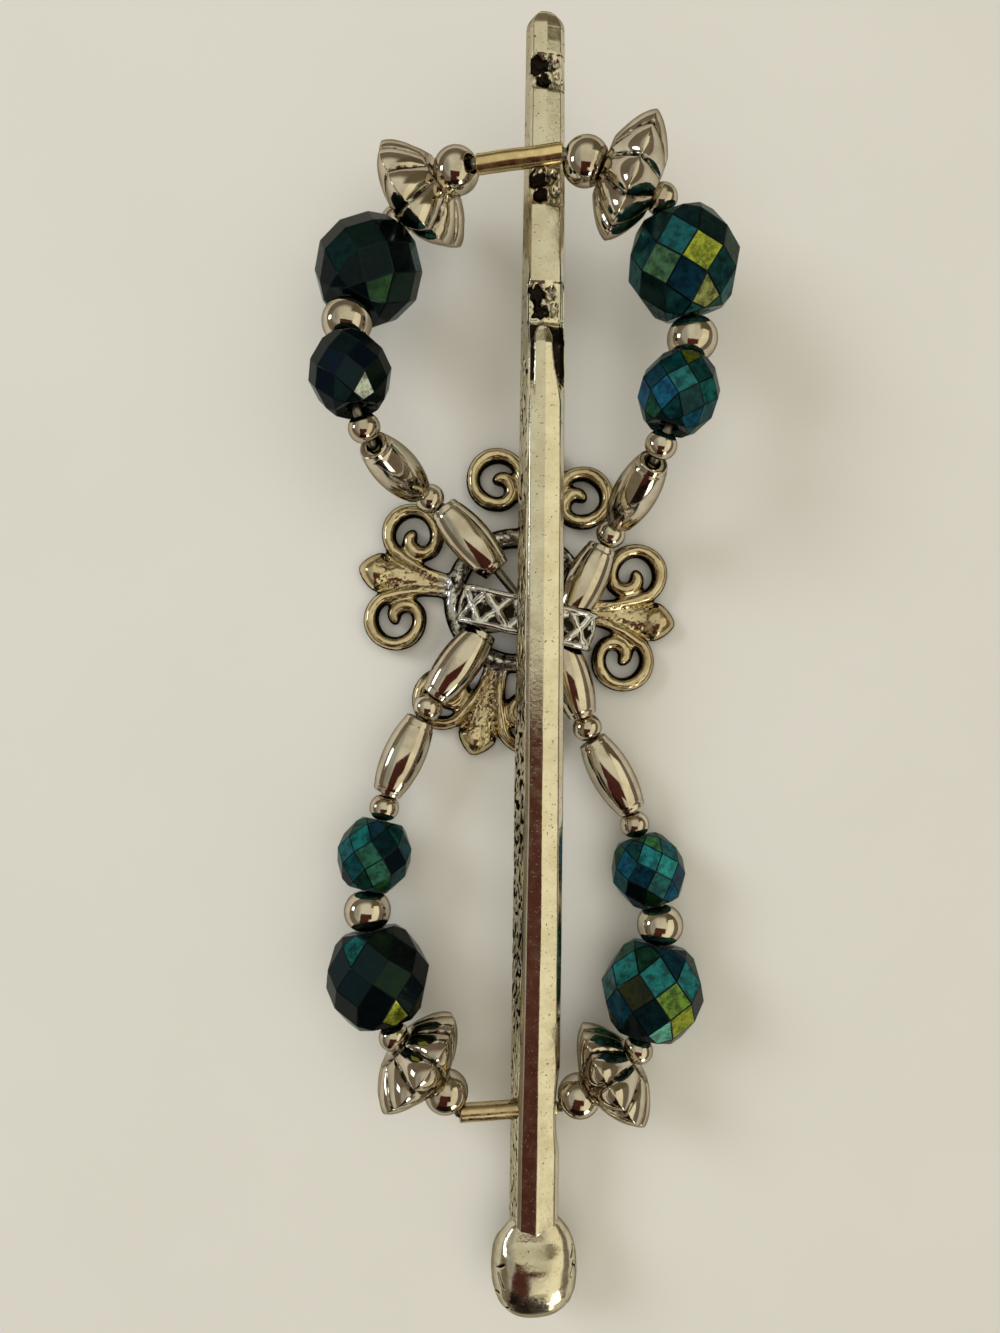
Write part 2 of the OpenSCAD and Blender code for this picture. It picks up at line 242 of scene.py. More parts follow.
def finish_piece(obj, body, slot, material, *nodes):
    obj.data.materials.clear()
    obj.data.materials.append(material)
    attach(obj, body)
    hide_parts(*nodes)


def cloud(x, y, z):
    """Fixed unevenness at a point, from about -1 to 1."""
    return noise.noise(Vector((x, y, z)))


def wobble(points, scale, strength, seed):
    """Slow seeded unevenness for points in millimetres."""
    shift = Vector((seed * 7.3, seed * 3.1, seed * 5.7))
    return np.array([noise.noise(Vector(p) * scale + shift) for p in points]) * strength


# ------ materials
STEEL = (0.76, 0.75, 0.72)
METAL_TINT = (0.36, 0.33, 0.27)
GLASS_TINT = (0.16, 0.26, 0.26)
GLASS_BODY = (0.004, 0.012, 0.014)


class Tree:
    """Short ways to add nodes to a node tree."""

    def __init__(self, tree):
        self.nodes, self.links = tree.nodes, tree.links

    def add(self, kind):
        return self.nodes.new("ShaderNode" + kind)

    def put(self, value, socket):
        """A number, a colour or another node's output into a socket."""
        if isinstance(value, bpy.types.NodeSocket):
            self.links.new(value, socket)
        else:
            socket.default_value = (*value, 1) if isinstance(value, tuple) else value

    def fill(self, node, values):
        for key, value in values.items():
            self.put(value, node.inputs[key])

    def attribute(self, name, output="Fac"):
        node = self.add("Attribute")
        node.attribute_name = name
        return node.outputs[output]

    def noise(self, coord, scale, detail, rough):
        node = self.add("TexNoise")
        self.fill(node, {"Vector": coord, "Scale": scale, "Detail": detail, "Roughness": rough})
        return node.outputs["Fac"]

    def remap(self, value, a, b, lo, hi):
        node = self.add("MapRange")
        node.interpolation_type = "SMOOTHSTEP"
        self.fill(node, {"Value": value, "From Min": a, "From Max": b, "To Min": lo, "To Max": hi})
        return node.outputs["Result"]

    def mix(self, share, a, b):
        node = self.add("Mix")
        node.data_type = "RGBA"
        self.fill(node, {"Factor": share, 6: a, 7: b})
        return node.outputs[2]

    def calc(self, operation, a, b):
        node = self.add("Math")
        node.operation = operation
        self.fill(node, {0: a, 1: b})
        return node.outputs[0]

    def bump(self, shader, strength, distance, height):
        """Relief on a shader. distance is in millimetres."""
        node = self.add("Bump")
        self.fill(node, {"Strength": strength, "Distance": distance * MM, "Height": height})
        self.put(node.outputs["Normal"], shader.inputs["Normal"])


def material(name):
    mat = bpy.data.materials.new(name)
    mat.use_nodes = True
    return mat, Tree(mat.node_tree), mat.node_tree.nodes["Principled BSDF"]


def metal(name, light, dark, patina_and_shade, rough, pits=0.0, grain=0.02, tarnish=0.0):
    """Cast or turned metal: two tones in soft clouds, a dark finish that is partly patina in the
    hollows and partly painted shade, pits and fine wear. rough is (polished, worn); pits is the
    share of dark specks; tarnish adds cloudy dark."""
    mat, tree, shader = material(name)
    coord = tree.add("TexCoord").outputs["Object"]
    clouds = tree.noise(coord, 450, 4, 0.6)
    tone = tree.mix(tree.remap(clouds, 0.35, 0.65, 0, 1), dark, light)
    tone = tree.mix(tree.attribute("steel"), tone, STEEL)
    rubbed = tree.noise(coord, 1900, 5, 0.65)
    # share of dark finish from the mesh, partly patina and partly painted shade, broken up by noise
    cover = tree.calc("ADD", tree.attribute("patina_and_shade"), tree.remap(rubbed, 0.3, 0.7, -0.3, 0.3))
    darkened = tree.remap(cover, 0.35, 0.75, 0, 1)
    if tarnish:
        smoky = tree.noise(coord, 900, 5, 0.7)
        darkened = tree.calc("MAXIMUM", darkened, tree.remap(smoky, 0.5, 0.72, 0, tarnish))
    if pits:
        speck = tree.noise(coord, 5200, 2, 0.5)
        darkened = tree.calc("MAXIMUM", darkened, tree.remap(speck, 0.66, 0.72, 0, pits))
    worn = tree.noise(coord, 1400, 4, 0.6)
    dulled = tree.calc("ADD", tree.remap(worn, 0.3, 0.75, *rough),
                      tree.calc("MULTIPLY", darkened, 0.3))
    tree.fill(shader, {"Base Color": tree.mix(darkened, tone, patina_and_shade), "Metallic": 1.0,
                       "Specular Tint": METAL_TINT, "Roughness": dulled})
    fine = tree.noise(coord, 3800, 3, 0.6)
    tree.bump(shader, 0.5, grain,
              tree.calc("SUBTRACT", fine, tree.calc("MULTIPLY", darkened, 0.6)))
    return mat


def glass_coat(name):
    """Opaque dark glass under a patchy iridescent layer. Each facet's tone is on the mesh, partly
    the layer's colour and partly painted reflection and highlight.
    """
    mat, tree, shader = material(name)
    coord = tree.add("TexCoord").outputs["Object"]
    mottle = tree.noise(coord, 1500, 5, 0.7)
    tone = tree.mix(tree.remap(mottle, 0.35, 0.62, 0.75, 0), tree.attribute("coat_and_glint", "Color"),
                    GLASS_BODY)
    worn = tree.noise(coord, 2600, 4, 0.6)
    tree.fill(shader, {"Base Color": tone, "Metallic": 0.75, "Specular Tint": GLASS_TINT,
                       "Roughness": tree.remap(worn, 0.3, 0.7, 0.1, 0.24),
                       "Coat Weight": 0.12, "Coat Roughness": 0.04})
    tree.bump(shader, 0.35, 0.02, mottle)
    return mat


# ------ turned beads
HOLE_R, END_HOLE_R = 0.48, 0.7


def arc(cx, cy, r, a0, a1, steps):
    """Points of a circular arc in (radius, height), angles in degrees."""
    turns = [unit(a0 + (a1 - a0) * i / steps) for i in range(steps + 1)]
    return [(cx + r * c, cy + r * s) for c, s in turns]


def mirrored(points):
    """The same points at the bead's other end, in the order that closes a profile."""
    return [(r, -z) for r, z in reversed(points)]


def bore(r, end, steps):
    """Points down the wall of a hole."""
    return [(r, z) for z in np.linspace(end, -end, steps)]


def round_profile(outline, hole_r):
    """Round bead with a slightly rolled edge at the hole."""
    x, r = outline
    lip = 0.06
    edge = math.degrees(math.acos((hole_r + lip - x) / r))
    top = r * unit(edge)[1]
    roll = arc(hole_r + lip, top - lip, lip, 90, 180, 3)[1:]
    return arc(x, 0, r, -edge, edge, 40) + roll + bore(hole_r, top - 2 * lip, 6) + mirrored(roll)


def barrel_profile():
    """Long barrel bead with a narrow rounded collar at each mouth."""
    half, belly_r, mouth_r = BARREL_LEN / 2, 1.65, 1.1
    lip, inner_lip = 0.12, 0.08
    z = np.linspace(-half + lip, half - lip, 60)
    sag = belly_r - mouth_r
    arc_r = (half * half + sag * sag) / (2 * sag)
    r = belly_r - arc_r + np.sqrt(arc_r ** 2 - z ** 2)
    groove = 0.05 * np.exp(-((np.abs(z) - (half - 0.42)) / 0.07) ** 2)
    outer = list(zip(r - groove, z))
    cap = arc(outer[-1][0] - lip, half - lip, lip, 15, 90, 4) \
        + arc(HOLE_R + inner_lip, half - inner_lip, inner_lip, 90, 180, 3)
    return outer + cap + bore(HOLE_R, half - 0.3, 8) + mirrored(cap)


def painted_shade_near_mouths(verts, half):
    """Painted shade in the hole and, lighter, close round the mouths, where neighbours meet, of a
    bead that lies along Z.
    """
    r = np.hypot(verts[:, 0], verts[:, 1])
    inside = 1 - ease(0.5, 0.58, r)
    mouth = ease(half - 0.35, half, np.abs(verts[:, 2])) * (r < 0.85)
    return np.clip(inside + 0.25 * mouth, 0, 1)


def fluted_mesh():
    """Lens-shaped bead with puffed petals on both cones and a dimple round each mouth."""
    flutes, per = 10, 20
    cols = flutes * per
    half, rim_r, big = 1.95, 2.12, 4.65
    cone = np.linspace(0.12, 1, 26)
    t = np.concatenate([-cone[::-1], np.linspace(-0.08, 0.08, 7), cone])[:, None]
    a = np.arange(cols) * 2 * math.pi / cols
    u = (np.arange(cols) % per) / per * 2 - 1
    s = np.abs(t)
    radius = rim_r + (big - rim_r) * (1 - 0.55 * s ** 1.2 - 0.45 * s ** 2.4)
    depth = 0.56 * ease(1.06, 0.6, s) * (1 - 0.25 * ease(0.25, 0, s)) + 0.06
    puff = (1 - np.sqrt(1 - 0.94 * u ** 2)) / (1 - math.sqrt(0.06))
    r = radius - depth * puff
    z = t * half * (1 - 0.1 * puff * ease(0.15, 0.7, s))
    # painted shade in the creases between the petals
    ridge = ease(0.72, 1.0, np.abs(u)) * ease(1.05, 0.75, s)
    rows = [turn_round(r, z, a)]
    shade = [(0.75 * ridge).reshape(-1)]
    dimple = [(1.95, half + 0.02), (1.75, half - 0.08), (1.35, 1.56), (1.1, 1.5), (0.62, 1.48),
              (0.56, 1.4)]
    inner = dimple + bore(0.56, 1.2, 5) + mirrored(dimple)
    # painted shade in the dimple round each mouth and down the hole
    for r, z in inner:
        rows.append(turn_round(r, z, a))
        shade.append(np.full(cols, 0.55 if r < 1.6 else 0.2))
    verts = np.concatenate(rows)
    return verts, grid_faces(len(t) + len(inner), cols, close_rows=True), np.concatenate(shade)


# ------ faceted glass
GLASS_DIAMETER = {"small_glass": 5.9, "large_glass": 8.0}
GLASS_GROWTH = 0.14         # how much longer a glass bead looks than its drilled length
GLASS_SIDES = 8
# rows of the net's corners: height as a share of the length, radius as a share of the bead's
GLASS_ROWS = [(-0.5, 0.534), (-0.42, 0.69), (-0.2, 0.924), (0, 1), (0.2, 0.924), (0.42, 0.69),
              (0.5, 0.534)]
# rows down the mouths and the hole: height as a share of the length, radius in millimetres
MOUTH_ROWS = [(-0.49, 1.3), (-0.465, 0.8), (-0.43, 0.57), (0.43, 0.57), (0.465, 0.8), (0.49, 1.3)]
EDGE_TONE = (0.005, 0.012, 0.012)       # of the softened edges between facets
# tones that the facets draw from: dark glass tones, and brighter tones with painted light for the
# beads that catch the light
DARK = [(0.004, 0.014, 0.018), (0.003, 0.008, 0.01), (0.004, 0.022, 0.026),
        (0.006, 0.02, 0.01), (0.003, 0.006, 0.012), (0.005, 0.016, 0.022)]
LIT_TONES = [(0.012, 0.1, 0.11), (0.008, 0.07, 0.13), (0.02, 0.12, 0.08), (0.006, 0.04, 0.05),
          (0.015, 0.09, 0.05), (0.01, 0.12, 0.14)]
# patch tones, partly the iridescent layer's colours and partly painted reflections; the pale one is
# a painted reflection
BLACK, NAVY, DIM = (0.003, 0.006, 0.007), (0.004, 0.01, 0.03), (0.006, 0.035, 0.036)
TEAL, BLUE, GREEN = (0.016, 0.2, 0.21), (0.012, 0.15, 0.3), (0.04, 0.19, 0.06)
LIME, PALE_GLINT, OLIVE = (0.36, 0.42, 0.035), (0.5, 0.56, 0.5), (0.035, 0.035, 0.008)
# for each glass bead the tones to draw from and its patches: place of a facet as the camera sees
# it, in shares of the radius, and tone. The patch tones are partly the colours of the iridescent
# layer and partly painted reflections and highlights.
GLASS = {
    "upper_left_large_glass": (DARK, [
        (-0.45, 0.35, DIM), (0.3, -0.1, (0.02, 0.07, 0.02)), (0.8, 0.1, TEAL),
        (-0.1, 0.6, (0.006, 0.025, 0.02)), (0.35, 0.5, BLACK), (-0.75, 0, BLACK),
        (-0.1, -0.55, BLACK), (-0.2, 0, BLACK), (0.5, -0.5, BLACK)]),
    "upper_left_small_glass": (DARK, [
        (-0.4, 0.35, NAVY), (0.3, -0.42, PALE_GLINT), (0.5, 0.3, NAVY), (0, 0.1, BLACK),
        (-0.5, -0.3, NAVY), (0.75, -0.3, BLACK), (-0.1, -0.75, BLACK)]),
    "upper_right_large_glass": (LIT_TONES, [
        (0.15, 0.45, LIME), (-0.42, 0.28, (0.1, 0.24, 0.12)), (-0.1, -0.05, OLIVE),
        (0.3, -0.3, (0.62, 0.72, 0.24)), (0.62, 0.15, (0.02, 0.1, 0.06)), (-0.75, 0, TEAL),
        (-0.45, -0.45, (0.004, 0.03, 0.03)), (0.8, -0.3, TEAL), (-0.2, 0.75, (0.1, 0.14, 0.02)),
        (0.05, -0.8, (0.004, 0.04, 0.035)), (0.6, 0.6, DIM)]),
    "upper_right_small_glass": (LIT_TONES, [
        (-0.35, 0.25, BLUE), (0.25, 0.3, (0.02, 0.16, 0.17)), (0.3, -0.35, BLUE),
        (0.2, 0.8, (0.2, 0.24, 0.02)), (-0.7, -0.1, BLUE), (-0.35, -0.5, NAVY),
        (0.75, 0.1, TEAL), (0, -0.85, BLACK)]),
    "lower_left_large_glass": (DARK, [
        (-0.55, 0.5, TEAL), (0.3, -0.45, LIME), (0, 0, BLACK), (0.5, 0.35, BLACK),
        (-0.5, -0.4, BLACK), (-0.1, 0.7, DIM), (0.75, -0.1, BLACK),
        (0.1, -0.8, (0.02, 0.06, 0.01))]),
    "lower_left_small_glass": (LIT_TONES, [
        (0.1, 0.15, (0.05, 0.42, 0.27)), (-0.45, 0.35, (0.02, 0.3, 0.32)),
        (0.4, 0.55, (0.015, 0.14, 0.14)), (-0.3, -0.4, (0.012, 0.14, 0.18)),
        (0.5, -0.2, NAVY), (0.1, -0.75, GREEN)]),
    "lower_right_large_glass": (LIT_TONES, [
        (-0.35, 0.45, TEAL), (0.25, 0.35, TEAL), (0.3, 0, (0.13, 0.24, 0.03)),
        (-0.65, 0, (0.1, 0.2, 0.2)), (-0.2, -0.25, OLIVE), (0.3, -0.6, LIME),
        (0.75, 0.1, TEAL), (-0.4, -0.7, BLACK), (0.7, -0.4, (0.01, 0.06, 0.05)), (0, 0.8, DIM)]),
    "lower_right_small_glass": (LIT_TONES, [
        (-0.1, 0.35, (0.02, 0.26, 0.3)), (0.45, 0.15, (0.02, 0.27, 0.28)),
        (0.1, -0.2, (0.03, 0.27, 0.18)), (-0.55, 0.1, BLUE), (-0.45, -0.5, BLACK),
        (0.55, -0.45, BLUE), (0.05, -0.75, (0.01, 0.04, 0.01)), (0.3, 0.75, GREEN)]),
}


def rhomb_net(diameter, length):
    """Fire polished round: a net of rhombs with softened edges, and a hole along Z."""
    bm = bmesh.new()
    sides = range(GLASS_SIDES)

    def ring(height, radius, shift=0.0):
        turns = [(j + shift) * 2 * math.pi / GLASS_SIDES for j in sides]
        return [bm.verts.new((radius * math.cos(a), radius * math.sin(a), length * height))
                for a in turns]

    rings = [ring(height, diameter / 2 * r, (i % 2) / 2)
             for i, (height, r) in enumerate(GLASS_ROWS)]
    for i, corners in enumerate(rings):
        for j in sides:
            beside = (j + i % 2) % GLASS_SIDES
            facet = [corners[j], corners[(j + 1) % GLASS_SIDES]]
            if i < len(rings) - 1:
                facet.insert(1, rings[i + 1][beside])
            if i > 0:
                facet.append(rings[i - 1][beside])
            bm.faces.new(facet)
    tube = [rings[0]] + [ring(height, r) for height, r in MOUTH_ROWS] + [rings[-1]]
    for near, far in zip(tube, tube[1:]):
        for j in sides:
            k = (j + 1) % GLASS_SIDES
            bm.faces.new([near[j], near[k], far[k], far[j]])
    bmesh.ops.recalc_face_normals(bm, faces=bm.faces)
    sharp = [e for e in bm.edges
             if len(e.link_faces) == 2 and e.calc_face_angle(0) > math.radians(8)
             and min(v.co.xy.length for v in e.verts) > 1.0]
    bmesh.ops.bevel(bm, geom=sharp, offset=diameter * 0.009, segments=2, affect="EDGES",
                    profile=0.6)
    bmesh.ops.recalc_face_normals(bm, faces=bm.faces)
    return bm


def facet_tones(bm, centre, diameter, ground, patches, seed):
    """Tone of each facet by its number: a random draw from the ground tones, and the patches,
    partly the iridescent layer's colour and partly painted reflection and highlight, put on the
    facets nearest their places as the camera sees them. The narrow strips along softened edges
    aren't facets.
    """
    toward = (CAMERA_AT - centre).normalized()
    right = (Vector((1, 0, 0)) - toward * toward.x).normalized()
    seen = Matrix((right, toward.cross(right), toward))
    facets = {f.index: seen @ (f.calc_center_median() - centre) / (diameter / 2)
              for f in bm.faces if f.calc_area() > (0.07 * diameter) ** 2}
    rng = np.random.default_rng(seed)
    tones = {i: ground[rng.integers(len(ground))] for i in facets}
    free = {i: at for i, at in facets.items() if at.z > 0.1}
    for x, y, tone in patches:
        nearest = min(free, key=lambda i: (free[i].x - x) ** 2 + (free[i].y - y) ** 2)
        tones[nearest] = tone
        del free[nearest]
    return tones


def glass_object(name, diameter, length, place, ground, patches, seed):
    """Glass bead in its place, with a tone for each facet."""
    bm = rhomb_net(diameter, length)
    bm.transform(place)
    bm.normal_update()
    bm.faces.index_update()
    tones = facet_tones(bm, place.translation, diameter, ground, patches, seed)
    colours = []
    for f in bm.faces:
        f.smooth = f.index not in tones
        colours += [*tones.get(f.index, EDGE_TONE), 1.0] * len(f.verts)
    mesh = mesh_from(bm, name)
    mesh.color_attributes.new("coat_and_glint", "FLOAT_COLOR", "CORNER").data.foreach_set("color", colours)
    mesh.transform(Matrix.Scale(MM, 4))
    return link_new(name, mesh)


# ------ bars and wires
WIRE_R = 0.35
WIRE_CROSSING = (1.35, 5.4, 4.3)


def sweep(points, radii, sides):
    """Round closed tube through points with a radius at each."""
    points = np.asarray(points, float)
    radii = np.broadcast_to(radii, len(points))
    tangents = np.gradient(points, axis=0)
    tangents /= np.linalg.norm(tangents, axis=1)[:, None]
    side = np.cross(tangents[0], [0.1, 0.05, 1.0])
    side /= np.linalg.norm(side)
    a = np.arange(sides) * 2 * math.pi / sides
    verts = []
    for p, t, r in zip(points, tangents, radii):
        side = side - t * side.dot(t)
        side /= np.linalg.norm(side)
        up = np.cross(side, t)
        verts.append(p + r * (np.cos(a)[:, None] * side + np.sin(a)[:, None] * up))
    return np.concatenate(verts), capped_faces(len(points), sides, flip=True)


def rounded_route(points):
    """Polyline with its corners rounded by short curves."""
    cut, steps = 0.3, 4
    out = [points[0]]
    for a, b, c in zip(points, points[1:], points[2:]):
        d = min(cut, 0.45 * (b - a).length, 0.45 * (c - b).length)
        p, q = b - (b - a).normalized() * d, b + (c - b).normalized() * d
        for i in range(steps + 1):
            t = i / steps
            out.append(p * (1 - t) ** 2 + b * 2 * t * (1 - t) + q * t * t)
    return out + [points[-1]]


def wire_route(q, p, lift):
    """From the upper bar down strand q, through the ring and down strand p to the lower bar."""
    def strand_points(n):
        beads = STRANDS[n]
        points = [beads[-1][1] + 0.1 * beads[-1][2]]
        for inner, outer in zip(beads[-2::-1], beads[::-1]):
            points += [outer[0], inner[1]]
        return points + [beads[0][0] - 0.1 * beads[0][2]]

    def bar_points(ends, side):
        a, b = ends[side], ends[1 - side]
        out = (a - b).normalized()
        return [(a + b) / 2 + 0.3 * out, a + 0.1 * out]

    x, y, z = WIRE_CROSSING
    across = (Vector(STARTS[p]) - Vector(STARTS[q])).normalized()
    return (bar_points(TOP_BAR, q) + strand_points(q) + [Vector((x, y, z + lift)) + 0.1 * across]
            + strand_points(p)[::-1] + bar_points(BOTTOM_BAR, p - 2)[::-1])


def bar_mesh(length, seed):
    """Thin tube with rounded mouths, a little uneven."""
    outer_r, inner_r, lip = 0.7, 0.53, 0.08
    end = length / 2
    outer = [(outer_r, z) for z in np.linspace(-end + lip, end - lip, 40)]
    cap = arc(outer_r - lip, end - lip, lip, 15, 90, 3) + [(inner_r, end - 0.02)]
    verts, faces = lathe(outer + cap + bore(inner_r, end - 0.3, 6) + mirrored(cap), 40)
    r = np.hypot(verts[:, 0], verts[:, 1])
    dent = np.where(r > 0.65, wobble(verts, 0.9, 0.03, seed), 0)
    verts[:, :2] *= (1 + dent / r)[:, None]
    return verts, faces


# ------ pin
# outline of the shaft at stations along it from the lower bar: places across and heights
SIDE_S = [-11, -3.7, 23, 52, 58, 79.4]
LEFT_FOOT = [-1.62, -1.62, -1.66, -1.6, -1.58, -1.45]
LEFT_TOP = [-1.3, -1.29, -1.14, -1.31, -1.28, -1.24]
LEFT_FACET = [-1.0, -0.97, -0.84, -1.12, -1.14, -1.1]
RIDGE_X = [0.2, 0.19, 0.12, -0.1, -0.14, -0.18]
RIGHT_S = [-11, -3.4, -1.7, 0, 1.7, 3.4, 23, 52, 68, 79.4]
RIGHT_FACET = [1.7, 1.66, 1.55, 1.5, 1.55, 1.63, 1.42, 1.1, 0.95, 0.8]
RIGHT_EDGE = [2.1, 2.04, 1.77, 1.66, 1.77, 2.0, 1.9, 1.5, 1.37, 1.18]
RIDGE_S = [-11, -9.5, 8, 40, 57.6, 58.6, 63, 70.5, 78.4, 79.6, 80.6]
RIDGE_H = [1.1, 1.22, 1.3, 1.25, 1.15, 0.7, 0.56, 0.48, 0.42, 0.34, 0.1]
FOOT_H = -1.15
LEFT_SLOPE, RIGHT_SLOPE = 0.25, 0.27
# runs of the outline from the left foot round over the top, and the points in each
(LEFT_BEVEL, LEFT_FLANK, LEFT_SHOULDER, LEFT_FACE, RIGHT_FACE, RIGHT_SHOULDER,
 RIGHT_FLANK, RIGHT_BEVEL, UNDERSIDE) = range(9)
RUN_POINTS = [3, 16, 4, 16, 18, 6, 10, 3, 8]
FACES = [LEFT_FACE, RIGHT_FACE]
SHOULDERS = [LEFT_SHOULDER, RIGHT_SHOULDER]
NOTCHES = [(60.45, 1.5), (68.5, 1.25), (76.3, 1.22)]    # middle along the pin, half length
# dents inside a notch: place across, place along as a share of the half length, size, depth, dark
DENTS = [(-0.68, 0.38, 0.66, 0.28, 1.0), (-0.4, -0.45, 0.6, 0.3, 0.95),
         (0.3, 0.45, 0.5, 0.22, 0.5), (0.62, -0.25, 0.45, 0.2, 0.4)]
# the step round the shaft's arched end: its far end and where it has faded out
ARCH_END, ARCH_FADE = 58.9, 53.2
TIP_S, TIP_LEN, TIP_ROUND = 79.4, 1.25, 1.255   # start of the tip, its length and its radius


def outline_points(s):
    """Points of the shaft's outline at a station, the run of each, and both faces' outer edges."""
    ridge = np.interp(s, RIDGE_S, RIDGE_H)
    left_foot, left_top, left_facet, ridge_x = (
        np.interp(s, SIDE_S, row) for row in (LEFT_FOOT, LEFT_TOP, LEFT_FACET, RIDGE_X))
    right_facet, right_edge = (np.interp(s, RIGHT_S, row) for row in (RIGHT_FACET, RIGHT_EDGE))
    ridge_x += 0.03 * cloud(s * 0.4, 0.4, 0)
    flatter = 1 - 0.5 * ease(57.5, 59.5, s)
    left_h = ridge - LEFT_SLOPE * (ridge_x - left_facet) * flatter
    right_h = ridge - RIGHT_SLOPE * (right_facet - ridge_x) * flatter
    corners = [(left_foot + 0.3, FOOT_H), (left_foot, FOOT_H + 0.28), (left_top, left_h - 0.3),
               (left_facet, left_h), (ridge_x, ridge), (right_facet, right_h),
               (right_edge, right_h - 0.4), (min(right_edge, 1.5), FOOT_H + 0.3), (1.1, FOOT_H)]
    points = []
    for i, n in enumerate(RUN_POINTS):
        p, q = np.array(corners[i]), np.array(corners[(i + 1) % len(corners)])
        points += [p + (q - p) * m / n for m in range(n)]
    points = np.array(points)
    points = (np.roll(points, 1, 0) + 2 * points + np.roll(points, -1, 0)) / 4
    return points, np.repeat(np.arange(len(RUN_POINTS)), RUN_POINTS), left_facet, right_facet


def ragged(points, s, scale, seed):
    """Unevenness across the shaft at a station."""
    return np.array([cloud(x * scale, s * scale, seed) for x in points[:, 0]])


def cut_notch(points, dark, run, s, centre, half):
    """A shallow bowl across the top with ragged dents, dark in them and along both rims."""
    t = (s - centre) / half
    if abs(t) > 1.05:
        return
    top, shoulder = np.isin(run, FACES), np.isin(run, SHOULDERS)
    bowl = max(1 - t * t, 0.0) ** 0.6
    points[:, 1] -= np.where(top, 0.26, np.where(shoulder, 0.14, 0)) * bowl
    for x0, t0, size, depth, ink in DENTS:
        gap = ((points[:, 0] - x0) / size) ** 2 + ((t - t0) * half / size) ** 2 \
            + 0.9 * ragged(points, s, 2.6, centre + x0)
        dent = np.clip(1 - gap, 0, 1) ** 0.7 * (top | shoulder)
        points[:, 1] -= depth * dent
        np.maximum(dark, ink * ease(0.05, 0.4, dent), out=dark)
    rough = ragged(points, s, 3.4, centre)
    points[:, 1] += np.where(top, 0.1 * rough * bowl, 0)
    np.maximum(dark, np.where(top, 0.45 * ease(0.1, 0.35, rough) * bowl, 0), out=dark)
    rim = ease(0.14, 0.0, abs(abs(t) - 0.97))
    np.maximum(dark, np.where(top | shoulder, 0.5 * rim, 0), out=dark)


def cut_arch(points, dark, run, s, left_facet, right_facet):
    """A step round the arched end of the plain shaft, before the first notch."""
    if not ARCH_FADE < s < ARCH_END + 0.5:
        return
    left = left_facet + 0.3
    right = min(right_facet - 0.02, 0.42 + 0.62 * ease(57.6, ARCH_FADE, s))
    curve = math.sqrt(max(1 - max(0.0, s - ARCH_END + 1.0) ** 2, 0))
    beyond = np.abs(points[:, 0] - (left + right) / 2) - (right - left) / 2 * curve
    fade = ease(ARCH_FADE, ARCH_FADE + 2.5, s)
    groove = ease(-0.03, 0.07, beyond) * np.isin(run, FACES + [RIGHT_SHOULDER]) \
        * (s < ARCH_END + 0.35)
    points[:, 1] -= 0.2 * groove * fade
    np.maximum(dark, 0.95 * groove * fade * (1 if s < ARCH_END else 0.4), out=dark)


def cut_dashes(points, dark, run, s):
    """Dashes across the left flank, dense above the lower bar and sparse by the knob."""
    if not -10 < s < 57:
        return
    level = 0.13 if 6 < s < 31 else 0.3
    for i in np.flatnonzero(run == LEFT_FLANK):
        height = points[i, 1]
        if cloud(s * 1.7, height * 4, 3) + 0.5 * cloud(s * 4, height * 8, 9) > level:
            points[i, 0] += 0.07
            dark[i] = 1.0


def shaft_mesh():
    """The pin's shaft, from inside the knob to its rounded tip, and how dark each point is."""
    stations = np.unique(np.concatenate([
        np.arange(-11, 52.5, 0.22), np.arange(52.5, TIP_S, 0.1),
        TIP_S + TIP_LEN - TIP_LEN * np.cos(np.linspace(0, 1.5, 16))]))
    rows, shade = [], []
    for s in stations:
        points, run, left_facet, right_facet = outline_points(s)
        # painted shade along the left flank
        dark = np.where(run == LEFT_FLANK, 0.28, 0.05)
        for centre, half in NOTCHES:
            cut_notch(points, dark, run, s, centre, half)
        cut_arch(points, dark, run, s, left_facet, right_facet)
        if s > TIP_S:
            scale = math.sqrt(max(1 - ((s - TIP_S) / TIP_ROUND) ** 2, 0.0005))
            mid = np.array([-0.15, (np.interp(s, RIDGE_S, RIDGE_H) + FOOT_H) / 2])
            points = mid + (points - mid) * [scale, 0.35 + 0.65 * scale]
        cut_dashes(points, dark, run, s)
        rows.append(np.stack([points[:, 0], np.full(len(points), s), points[:, 1]], -1))
        shade.append(dark)
    verts = np.concatenate(rows)
    verts[:, 2] += wobble(verts * [1, 0.25, 1], 0.7, 0.02, 2)
    verts[:, 0] += wobble(verts * [1, 0.2, 1], 0.6, 0.02, 5)
    return verts, capped_faces(len(rows), len(rows[0])), np.concatenate(shade)


# knob: place along, half width, half depth and height of its middle
KNOB = [(-8.9, 1.5, 0.9, 0.0), (-9.4, 2.1, 1.1, -0.05), (-10.3, 2.75, 1.5, -0.1),
        (-11.1, 3.1, 2.35, -0.2), (-11.9, 3.27, 2.8, -0.28), (-13.2, 3.35, 2.97, -0.3),
        (-14.3, 3.27, 2.9, -0.3), (-15.2, 2.95, 2.6, -0.25), (-15.9, 2.32, 2.05, -0.2),
        (-16.26, 1.45, 1.3, -0.2), (-16.38, 0.5, 0.45, -0.2)]
KNOB_X = 0.3
KNOB_ROUND = 0.82           # below 1 the section is squarish
# short strokes cut into the knob's sides: place along, angle round it, turn of the stroke
STROKES = [(-11.2, 150, 60), (-12.3, 140, 35), (-12.3, 150, -50), (-13.4, 168, 60),
           (-14.6, 160, 80), (-15.1, 140, 50), (-11.9, 28, 60), (-12.9, 32, -40),
           (-14.2, 16, 70), (-15.2, 35, 60)]


